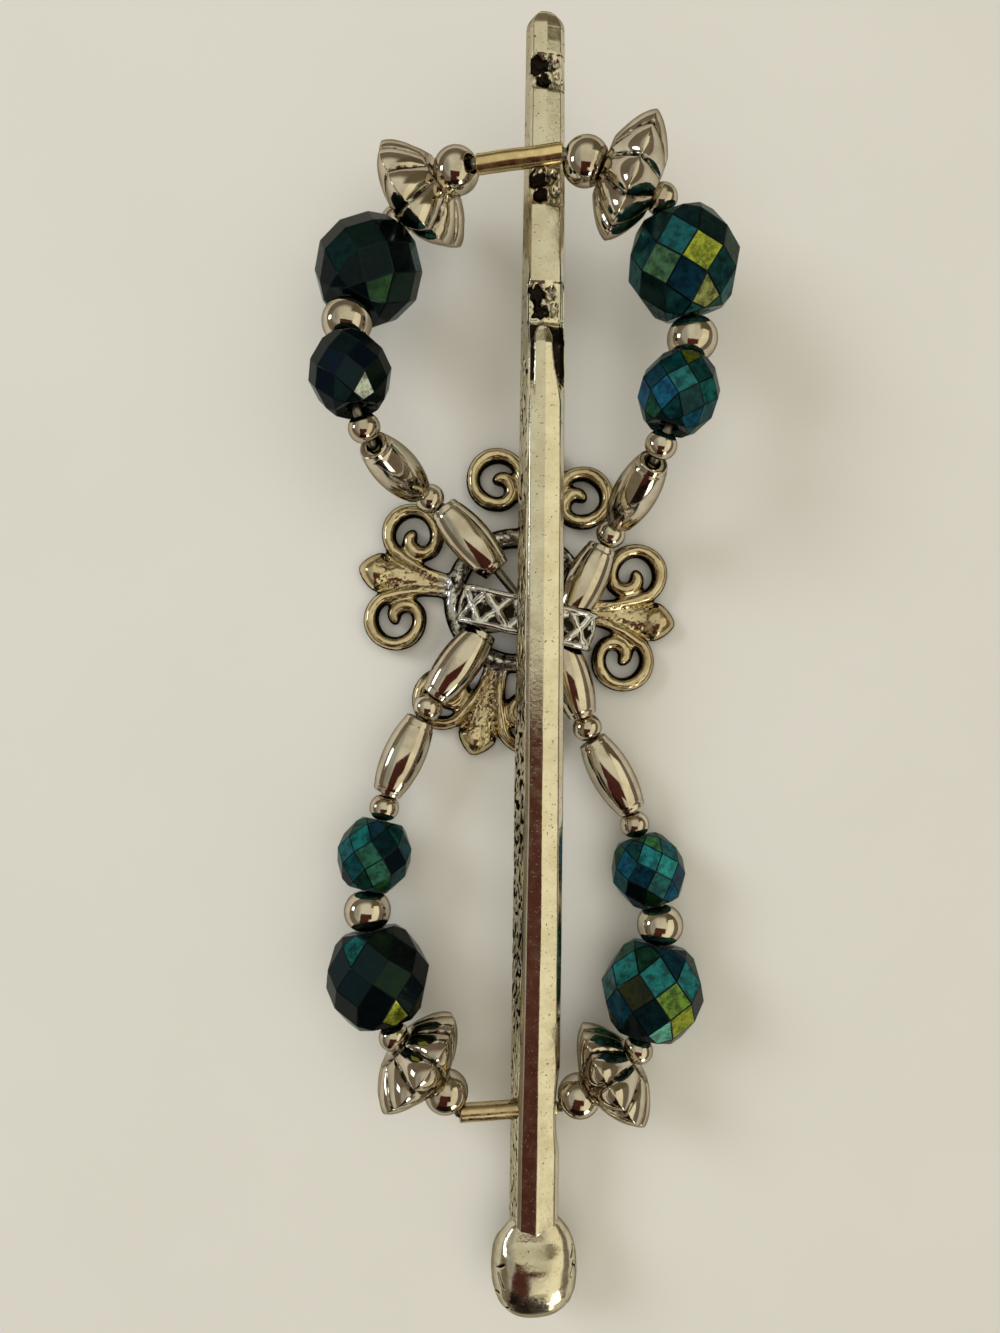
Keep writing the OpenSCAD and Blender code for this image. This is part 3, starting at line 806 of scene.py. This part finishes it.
def knob_mesh():
    """Squarish rounded knob at the lower end of the pin, with a nearly flat front."""
    fine, steps = np.linspace(0, 1, 150), np.linspace(0, 1, len(KNOB))
    table = np.stack([np.interp(fine, steps, column) for column in zip(*KNOB)], -1)
    for _ in range(8):
        table[1:-1] = (table[:-2] + 2 * table[1:-1] + table[2:]) / 4
    a = np.linspace(0, 2 * math.pi, 216, endpoint=False)
    x, z = (np.sign(v) * np.abs(v) ** KNOB_ROUND for v in (np.cos(a), np.sin(a)))
    rows, shade = [], []
    for y, wide, deep, lift in table:
        cut = np.zeros(len(a))
        for y0, angle, turn in STROKES:
            c, s = unit(turn)
            e, f = y - y0, (a - math.radians(angle)) * 3.0
            e, f = e * c + f * s, -e * s + f * c
            stroke = ease(0.13, 0.05, np.abs(f)) * ease(0.75, 0.45, np.abs(e))
            cut = np.maximum(cut, stroke)
        out = 1 - 0.035 * cut
        rows.append(np.stack([KNOB_X - wide * x * out, np.full(len(a), y), lift + deep * z * out],
                             -1))
        shade.append(cut)
    verts = np.concatenate(rows)
    verts[:, 2] += wobble(verts, 0.5, 0.03, 3)
    return verts, capped_faces(len(table), len(a), flip=True), np.concatenate(shade)


# ------ slide ring
RING_W, RING_H, RING_LEN = 10.8, 3.85, 3.0
RING_WALL = 0.4
RING_CROSSES = 6


def stadium_path(w, h, steps):
    """Rows of (x, z, outward x, outward z, distance) round a stadium."""
    r, flat = h / 2, w - h
    half_way = flat + math.pi * r
    d = 2 * half_way * np.arange(steps) / steps
    side = np.where(d < half_way, 1, -1)
    run = np.where(d < half_way, d, d - half_way)
    bend = np.maximum(run - flat, 0) / r
    nx, nz = side * np.sin(bend), side * np.cos(bend)
    return np.stack([side * (np.minimum(run, flat) - flat / 2) + r * nx, r * nz, nx, nz, d], -1)


def ring_mesh():
    """Flattened ring: raised rims along both edges and a lattice of crosses between them."""
    path = stadium_path(RING_W, RING_H, 420)
    half = RING_LEN / 2
    across = np.linspace(-half, half, 48)
    back = np.linspace(half - 0.04, -half + 0.04, 10)
    phase = np.arange(len(path)) / len(path) * RING_CROSSES % 1.0
    zigzag = np.abs(phase * 2 - 1) * 2 - 1
    rows, shade = [], []
    for (x, z, nx, nz, d), zig in zip(path, zigzag):
        rim = np.abs(np.abs(across) - (half - 0.24))
        lean = 0.12 * cloud(d * 0.7, 3, 1)
        slant = zig * (half - 0.32)
        rib = np.minimum(np.abs(across - lean - slant), np.abs(across + lean + slant)) * 0.8
        n = np.maximum(-0.26, -0.34 * np.clip(rim / 0.28, 0, 1.2) ** 2.5)
        n = np.maximum(n, -0.05 - 0.26 * np.clip(rib / (0.46 + 0.3 * lean), 0, 1.2) ** 2)
        n = n + 0.1 * np.array([cloud(x * 1.6, z * 1.6, v * 1.6) for v in across])
        outer = np.stack([x + n * nx, across, z + n * nz], -1)
        inner = np.stack([x - RING_WALL * nx + 0 * back, back, z - RING_WALL * nz + 0 * back], -1)
        rows.append(np.concatenate([outer, inner]))
        # dark finish in the recesses between rims and ribs, partly patina and partly painted shade,
        # and painted shade over the ring's inside
        shade.append(np.append(0.92 * ease(-0.12, -0.27, n), np.full(len(back), 0.8)))
    faces = grid_faces(len(rows), len(rows[0]), close_rows=True)
    return np.concatenate(rows), faces, np.concatenate(shade)


# ------ scroll cross
# routes along one arm, which points along X: places and half width
STEM = [(4.8, 0, 1.0), (6.2, 0, 0.92), (7.8, 0, 0.9), (9.4, 0, 1.1), (10.8, 0, 1.25),
        (11.7, 0, 1.2)]
SCROLL_FOOT = [(5.0, 0.5, 0.5), (6.4, 0.55, 0.5), (7.8, 0.8, 0.5), (9.1, 1.3, 0.52)]
# after its foot a scroll runs round a circle and then curls in, given from the circle's middle
SCROLL_OUT, SCROLL_SIDE, SCROLL_R = 9.25, 3.5, 1.95
SCROLL_CURL = [(-1.93, -0.35, 0.58), (-1.76, -0.85, 0.6), (-1.38, -1.22, 0.62),
               (-0.88, -1.36, 0.64), (-0.34, -1.22, 0.64), (0.06, -0.84, 0.62),
               (0.16, -0.38, 0.56), (-0.02, -0.04, 0.48), (-0.3, 0.06, 0.36)]
SCROLL_TALL, STEM_TALL, BOSS_TALL = 1.95, 1.7, 2.3
LOBE_AT, LOBE_RADII, LOBE_POWER = (11.4, 0, 0.6), (1.65, 1.6, 1.45), 1.45
BOSS_R, BOSS_HALF, BOSS_STEPS = 5.05, 0.8, 97
PADS = [(3.1, 4.5, 2.68), (-5.7, -4.7, 3.2)]    # of solder: from and to across the ring, top
STRIP_SIDES = 24
VOXEL = 0.145


def scroll_route(side):
    """Centreline of one scroll with its half width."""
    route = list(SCROLL_FOOT)
    for a in range(-52, 181, 8):
        c, s = unit(a)
        route.append((SCROLL_OUT + SCROLL_R * c, SCROLL_SIDE + SCROLL_R * s,
                      0.58 + 0.03 * unit(3 * a)[1]))
    route += [(SCROLL_OUT + x, SCROLL_SIDE + y, w) for x, y, w in SCROLL_CURL]
    smooth = []
    padded = [route[0]] + route + [route[-1]]
    for four in zip(padded, padded[1:], padded[2:], padded[3:]):
        for t in (0, 1 / 3, 2 / 3):
            smooth.append(tuple(
                0.5 * (2 * b + (c - a) * t + (2 * a - 5 * b + 4 * c - d) * t * t
                       + (3 * b - a - 3 * c + d) * t ** 3)
                for a, b, c, d in zip(*four)))
    return [(x, y * side, w) for x, y, w in smooth + [route[-1]]]


def blob(centre, radii, name, power=2.0):
    """Egg shape. A power below 2 draws its outline in plan towards a rhomb."""
    bm = bmesh.new()
    bmesh.ops.create_icosphere(bm, subdivisions=4, radius=1)
    for v in bm.verts:
        x, y, z = v.co
        pull = math.hypot(x, y) / max((abs(x) ** power + abs(y) ** power) ** (1 / power), 1e-6)
        v.co = Vector((centre[0] + x * pull * radii[0], centre[1] + y * pull * radii[1],
                       centre[2] + z * radii[2]))
    return link_new(name, mesh_from(bm, name))


def strip(route, height, name):
    """Band with a rounded crest and upright sides along a route of places and half width."""
    route = np.array(route, float)
    middle, width = route * [1, 1, 0], route[:, 2]
    verts, faces = sweep(middle, width, STRIP_SIDES)
    centre = np.repeat(middle, STRIP_SIDES, axis=0)[:, :2]
    flat = verts[:, :2] - centre
    wide = np.repeat(width, STRIP_SIDES)
    share = np.clip(np.linalg.norm(flat, axis=1) / wide, 1e-6, 1)
    rise = verts[:, 2] / wide
    low = rise < 0
    verts[:, :2] = np.where(low[:, None], centre + flat * (share ** -0.6)[:, None], verts[:, :2])
    crest = height * 0.55
    verts[:, 2] = np.where(low, crest + (crest + 0.3) * rise, crest + (height - crest) * rise)
    mesh = bpy.data.meshes.new(name)
    mesh.from_pydata(verts.tolist(), [], faces)
    return link_new(name, mesh)


def rough_cross():
    """Strips and blobs of the four arms, the boss and the pads, in one object."""
    parts = []
    for turn in ARM_TURNS:
        arm = [strip(scroll_route(side), SCROLL_TALL, "scroll") for side in (-1, 1)]
        arm.append(strip(STEM, STEM_TALL, "stem"))
        arm.append(blob(LOBE_AT, LOBE_RADII, "lobe", LOBE_POWER))
        for o in arm:
            o.data.transform(turned(CROSS_AT, turn))
        parts += arm
    rim = [(math.cos(a) * BOSS_R, math.sin(a) * BOSS_R, BOSS_HALF)
           for a in np.linspace(0, 2 * math.pi, BOSS_STEPS)]
    boss = strip(rim[:-1] + [rim[0]], BOSS_TALL, "boss")
    boss.data.transform(Matrix.Translation(CROSS_AT))
    parts.append(boss)
    for x0, x1, top in PADS:
        pad = blob(((x0 + x1) / 2, 0, 1.2), ((x1 - x0) * 0.6, 1.3, top - 1.1), "pad")
        pad.data.transform(turned((RING_AT.x, RING_AT.y, 0), RING_TURN))
        parts.append(pad)
    return join("cross", parts)


def melt(obj):
    """Overlapping shapes of an object run into one cast skin."""
    remesh = obj.modifiers.new("melt", "REMESH")
    remesh.mode = "VOXEL"
    remesh.voxel_size = VOXEL
    soften = obj.modifiers.new("soften", "SMOOTH")
    soften.factor = 0.5
    soften.iterations = 3
    bpy.context.view_layer.update()
    graph = bpy.context.evaluated_depsgraph_get()
    mesh = bpy.data.meshes.new_from_object(obj.evaluated_get(graph),
                                           preserve_all_data_layers=True, depsgraph=graph)
    obj.modifiers.clear()
    obj.data = mesh


def point_vectors(mesh, kind):
    values = np.zeros(len(mesh.vertices) * 3, np.float32)
    mesh.vertices.foreach_get(kind, values)
    return values.reshape(-1, 3).astype(float)


def cross_object():
    """The cast cross, flat on the table, with pitted stems, dark finish in its hollows that is
    partly patina and partly painted shade, painted shade on its upright walls, and a boss
    darkened partly as dark steel and partly as painted shade.
    """
    obj = rough_cross()
    melt(obj)
    mesh = obj.data
    co = point_vectors(mesh, "co")
    co[:, 2] = np.maximum(co[:, 2], 0)
    local = co - np.array(CROSS_AT)
    stem = np.zeros(len(co))
    for turn in ARM_TURNS:
        c, s = unit(turn)
        x, y = local[:, 0] * c + local[:, 1] * s, np.abs(-local[:, 0] * s + local[:, 1] * c)
        edge = y - np.interp(x, [6, 8, 11], [0.7, 0.7, 1.2])
        stem = np.maximum(stem, ease(6.0, 6.8, x) * ease(11.8, 10.9, x)
                          * ease(0.25, 0.0, edge))
    coarse = wobble(co, 2.4, 1, 0)
    fine = np.array([noise.noise(Vector(p) * 6.5 + Vector((9, 4, 2))) for p in co])
    up = ease(0.7, 1.3, co[:, 2])
    pit = stem * ease(0.15, 0.45, 0.3 * coarse + fine)
    co[:, 2] -= up * (0.16 * pit + 0.06 * stem)
    co[:, 2] += up * 0.04 * coarse
    upright = ease(0.62, 0.28, point_vectors(mesh, "normal")[:, 2])
    boss = ease(6.6, 5.6, np.hypot(local[:, 0], local[:, 1]))
    # painted shade on the upright walls, and dark finish low down that is partly patina in the
    # hollows and partly painted shade
    shade = np.maximum(0.95 * ease(1.3, 0.8, co[:, 2]), 0.95 * upright)
    # the boss round the middle is darker, partly as dark steel and partly as painted shade under
    # the ring and barrels
    shade = np.maximum(shade, 0.2 * stem + 0.4 * pit) + 0.5 * boss + 0.06 * coarse
    mesh.vertices.foreach_set("co", (co * MM).astype(np.float32).reshape(-1))
    point_values(mesh, "patina_and_shade", np.clip(shade, 0, 1))
    point_values(mesh, "steel", 0.85 * boss)
    shade_smooth(mesh)
    mesh.update()
    return obj


# ------ surroundings
FLOOR_TONES = (0.665, 0.655, 0.625), (0.7, 0.69, 0.665)
# lamps, in metres: name, place, size, energy, colour
LAMPS = [("ceiling", (0.1, 0.05, 0.9), 0.9, 3.2, (1.0, 0.94, 0.86)),
         ("window", (-0.6, 0.35, 0.55), 0.35, 3.0, (0.94, 0.97, 1.0))]
# cards, in millimetres: name, middle, point that it faces, size, colour, strength
CARDS = [
    ("figure", (-10, -53.7, 130), (-4, 0, 5), (128, 66), (0.08, 0.022, 0.016), 1.0),
    ("figure_waist", (-30.6, -98.6, 102.3), (-4, 0, 5), (84, 70), (0.07, 0.018, 0.013), 1.0),
    ("figure_low", (-22, -170, 62), (-6, 0, 5), (150, 100), (0.01, 0.006, 0.006), 1.0),
    ("shaded_cloth", (-50, -152, 1), (-50, -152, -10), (130, 154), (0.012, 0.008, 0.007), 1.0),
    ("pane", (-230, 45, 85), (0, 0, 5), (60, 50), (0.85, 0.93, 1.0), 6.0),
    ("warm_wall", (140, -55, 140), (0, -10, 5), (390, 120), (1.0, 0.93, 0.68), 0.95),
    ("lamp", (74, -184, 52), (0, -45, 5), (70, 54), (1.0, 0.96, 0.82), 5.0)]


def world():
    """Dim room with a pale ceiling, for the metal to reflect."""
    room = bpy.data.worlds.new("room")
    bpy.context.scene.world = room
    room.use_nodes = True
    tree = Tree(room.node_tree)
    split = tree.add("SeparateXYZ")
    tree.put(tree.add("TexCoord").outputs["Generated"], split.inputs[0])
    x, y, z = split.outputs
    high = tree.remap(z, 0.42, 0.75, 0, 1)
    tone = tree.mix(high, (0.19, 0.155, 0.11), (0.7, 0.67, 0.53))
    left = tree.calc("MULTIPLY", tree.remap(x, -0.7, -0.3, 1, 0), high)
    tone = tree.mix(left, tone, (0.33, 0.34, 0.31))
    far_right = tree.calc("MULTIPLY", tree.remap(x, 0.3, 0.5, 0, 1),
                         tree.remap(y, 0.36, 0.5, 0, 1))
    tree.fill(room.node_tree.nodes["Background"],
              {"Color": tree.mix(far_right, tone, (0.13, 0.11, 0.06)), "Strength": 1.0})


def area_light(name, place, size, energy, colour):
    """Large soft light that the metal doesn't mirror."""
    light = bpy.data.lights.new(name, "AREA")
    light.size = size
    light.energy = energy
    light.color = colour
    obj = link_new(name, light)
    obj.location = place
    obj.rotation_euler = Vector(place).to_track_quat("Z", "Y").to_euler()
    obj.visible_glossy = False


def card(name, centre, aim, size, colour, strength):
    """Flat glowing or dark card for the metal to reflect, not seen by the camera."""
    bm = bmesh.new()
    bmesh.ops.create_grid(bm, x_segments=1, y_segments=1, size=0.5)
    obj = link_new(name, mesh_from(bm, name))
    obj.location = Vector(centre) * MM
    obj.rotation_euler = (Vector(centre) - Vector(aim)).to_track_quat("Z", "Y").to_euler()
    obj.scale = (size[0] * MM, size[1] * MM, 1)
    mat, tree, _ = material(name)
    tree.nodes.clear()
    glow = tree.add("Emission")
    tree.fill(glow, {"Color": colour, "Strength": strength})
    tree.put(glow.outputs[0], tree.add("OutputMaterial").inputs["Surface"])
    obj.data.materials.append(mat)
    obj.visible_camera = obj.visible_shadow = False
    obj.visible_diffuse = obj.visible_transmission = False


def surroundings():
    world()
    bpy.context.scene.view_settings.view_transform = "Standard"
    bm = bmesh.new()
    bmesh.ops.create_circle(bm, cap_ends=True, segments=64, radius=3)
    floor = link_new("floor", mesh_from(bm, "floor"))
    floor.location.z = -0.00005
    mat, tree, shader = material("pale_table")
    soft = tree.noise(tree.add("TexCoord").outputs["Object"], 60, 3, 0.5)
    tree.fill(shader, {"Base Color": tree.mix(soft, *FLOOR_TONES), "Roughness": 0.9})
    floor.data.materials.append(mat)
    for row in LAMPS:
        area_light(*row)
    for row in CARDS:
        card(*row)


# ------ the clip
FRAME_BODY = "beaded_frame"
FLUTED_WIDE = [0.97, 0.97, 0.94, 0.94]      # share of the full width that shows, in each quarter
# wires: name, upper strand, lower strand, height over the middle of their crossing
WIRES = [("wire_a", 0, 3, 0.5), ("wire_b", 1, 2, -0.5)]


def build_beads():
    silver = metal("plated_bead", (0.72, 0.66, 0.54), (0.55, 0.48, 0.38), (0.03, 0.022, 0.014),
                   (0.05, 0.13), grain=0.004)
    coat_and_glint = glass_coat("iris_glass")
    turned_beads = {"barrel": lathe(barrel_profile(), 64),
                    "seed": lathe(round_profile(SEED, HOLE_R), 48),
                    "spacer": lathe(round_profile(SPACER, HOLE_R), 56),
                    "round": lathe(round_profile(END_ROUND, END_HOLE_R), 56)}
    fluted = fluted_mesh()
    for q, quarter in enumerate(QUARTERS):
        for k, bead in enumerate(BEADS):
            near, far, d = STRANDS[q][k]
            place = along((near + far) / 2, d, roll=11 * q + 7 * k)
            node = f"{quarter}_{bead.kind}"
            name = node + "_piece"
            if node in GLASS:
                obj = glass_object(name, GLASS_DIAMETER[bead.kind], bead.length + GLASS_GROWTH,
                                   place, *GLASS[node], 10 * q + k)
                finish_piece(obj, FRAME_BODY, "glass", coat_and_glint, node)
                continue
            wide = 1.0
            if bead.kind == "fluted":
                verts, faces, shade = fluted
                wide = FLUTED_WIDE[q]
            else:
                verts, faces = turned_beads[bead.kind.split("_")[-1]]
                shade = painted_shade_near_mouths(verts, bead.length / 2)
            obj = add_object(name, verts * [wide, wide, bead.stretch], faces, shade, place)
            finish_piece(obj, FRAME_BODY, "bead_metal", silver, node)


def build_bars_and_wires():
    brass = metal("worn_bar", (0.74, 0.6, 0.36), (0.5, 0.4, 0.24), (0.04, 0.028, 0.015),
                  (0.14, 0.32))
    gold = metal("brassy_bar", (0.92, 0.74, 0.4), (0.66, 0.52, 0.28), (0.04, 0.028, 0.015),
                 (0.12, 0.28))
    dull = metal("dull_wire", (0.3, 0.27, 0.21), (0.2, 0.18, 0.14), (0.03, 0.022, 0.014),
                 (0.25, 0.4), grain=0.01)
    for name, (a, b), seed, mat in (("top_bar", TOP_BAR, 1, gold),
                                    ("bottom_bar", BOTTOM_BAR, 4, brass)):
        obj = add_object(name + "_piece", *bar_mesh((b - a).length, seed),
                         place=along((a + b) / 2, (b - a).normalized()))
        finish_piece(obj, FRAME_BODY, "bar_metal", mat, name)
    for name, q, p, lift in WIRES:
        route = rounded_route(wire_route(q, p, lift))
        obj = add_object(name + "_piece", *sweep(route, WIRE_R, 14))
        finish_piece(obj, FRAME_BODY, "bar_metal", dull, name)


def build_centrepiece():
    cast = metal("antique_casting", (0.82, 0.7, 0.45), (0.54, 0.43, 0.26), (0.022, 0.018, 0.013),
                 (0.11, 0.26), pits=0.3, grain=0.018, tarnish=0.2)
    cross = cross_object()
    ring = add_object("ring", *ring_mesh(), turned(RING_AT, RING_TURN), steel=1.0)
    finish_piece(join("centrepiece_piece", [cross, ring]), FRAME_BODY, "cast_metal", cast,
                 "centrepiece")


def build_pin():
    plated = metal("plated_pin", (0.78, 0.73, 0.58), (0.68, 0.62, 0.46), (0.02, 0.015, 0.012),
                   (0.1, 0.24), pits=0.7)
    place = (Matrix.Translation(HINGE) @ Matrix.Rotation(math.radians(PIN_ROLL), 4, "Y")
             @ Matrix.Rotation(math.radians(PIN_PITCH), 4, "X"))
    shaft = add_object("pin_piece", *shaft_mesh(), place)
    knob = add_object("knob", *knob_mesh(), place)
    finish_piece(join("pin_piece", [shaft, knob]), "pin", "pin_metal", plated, "pin")


make_camera()
surroundings()
build_beads()
build_bars_and_wires()
build_centrepiece()
build_pin()
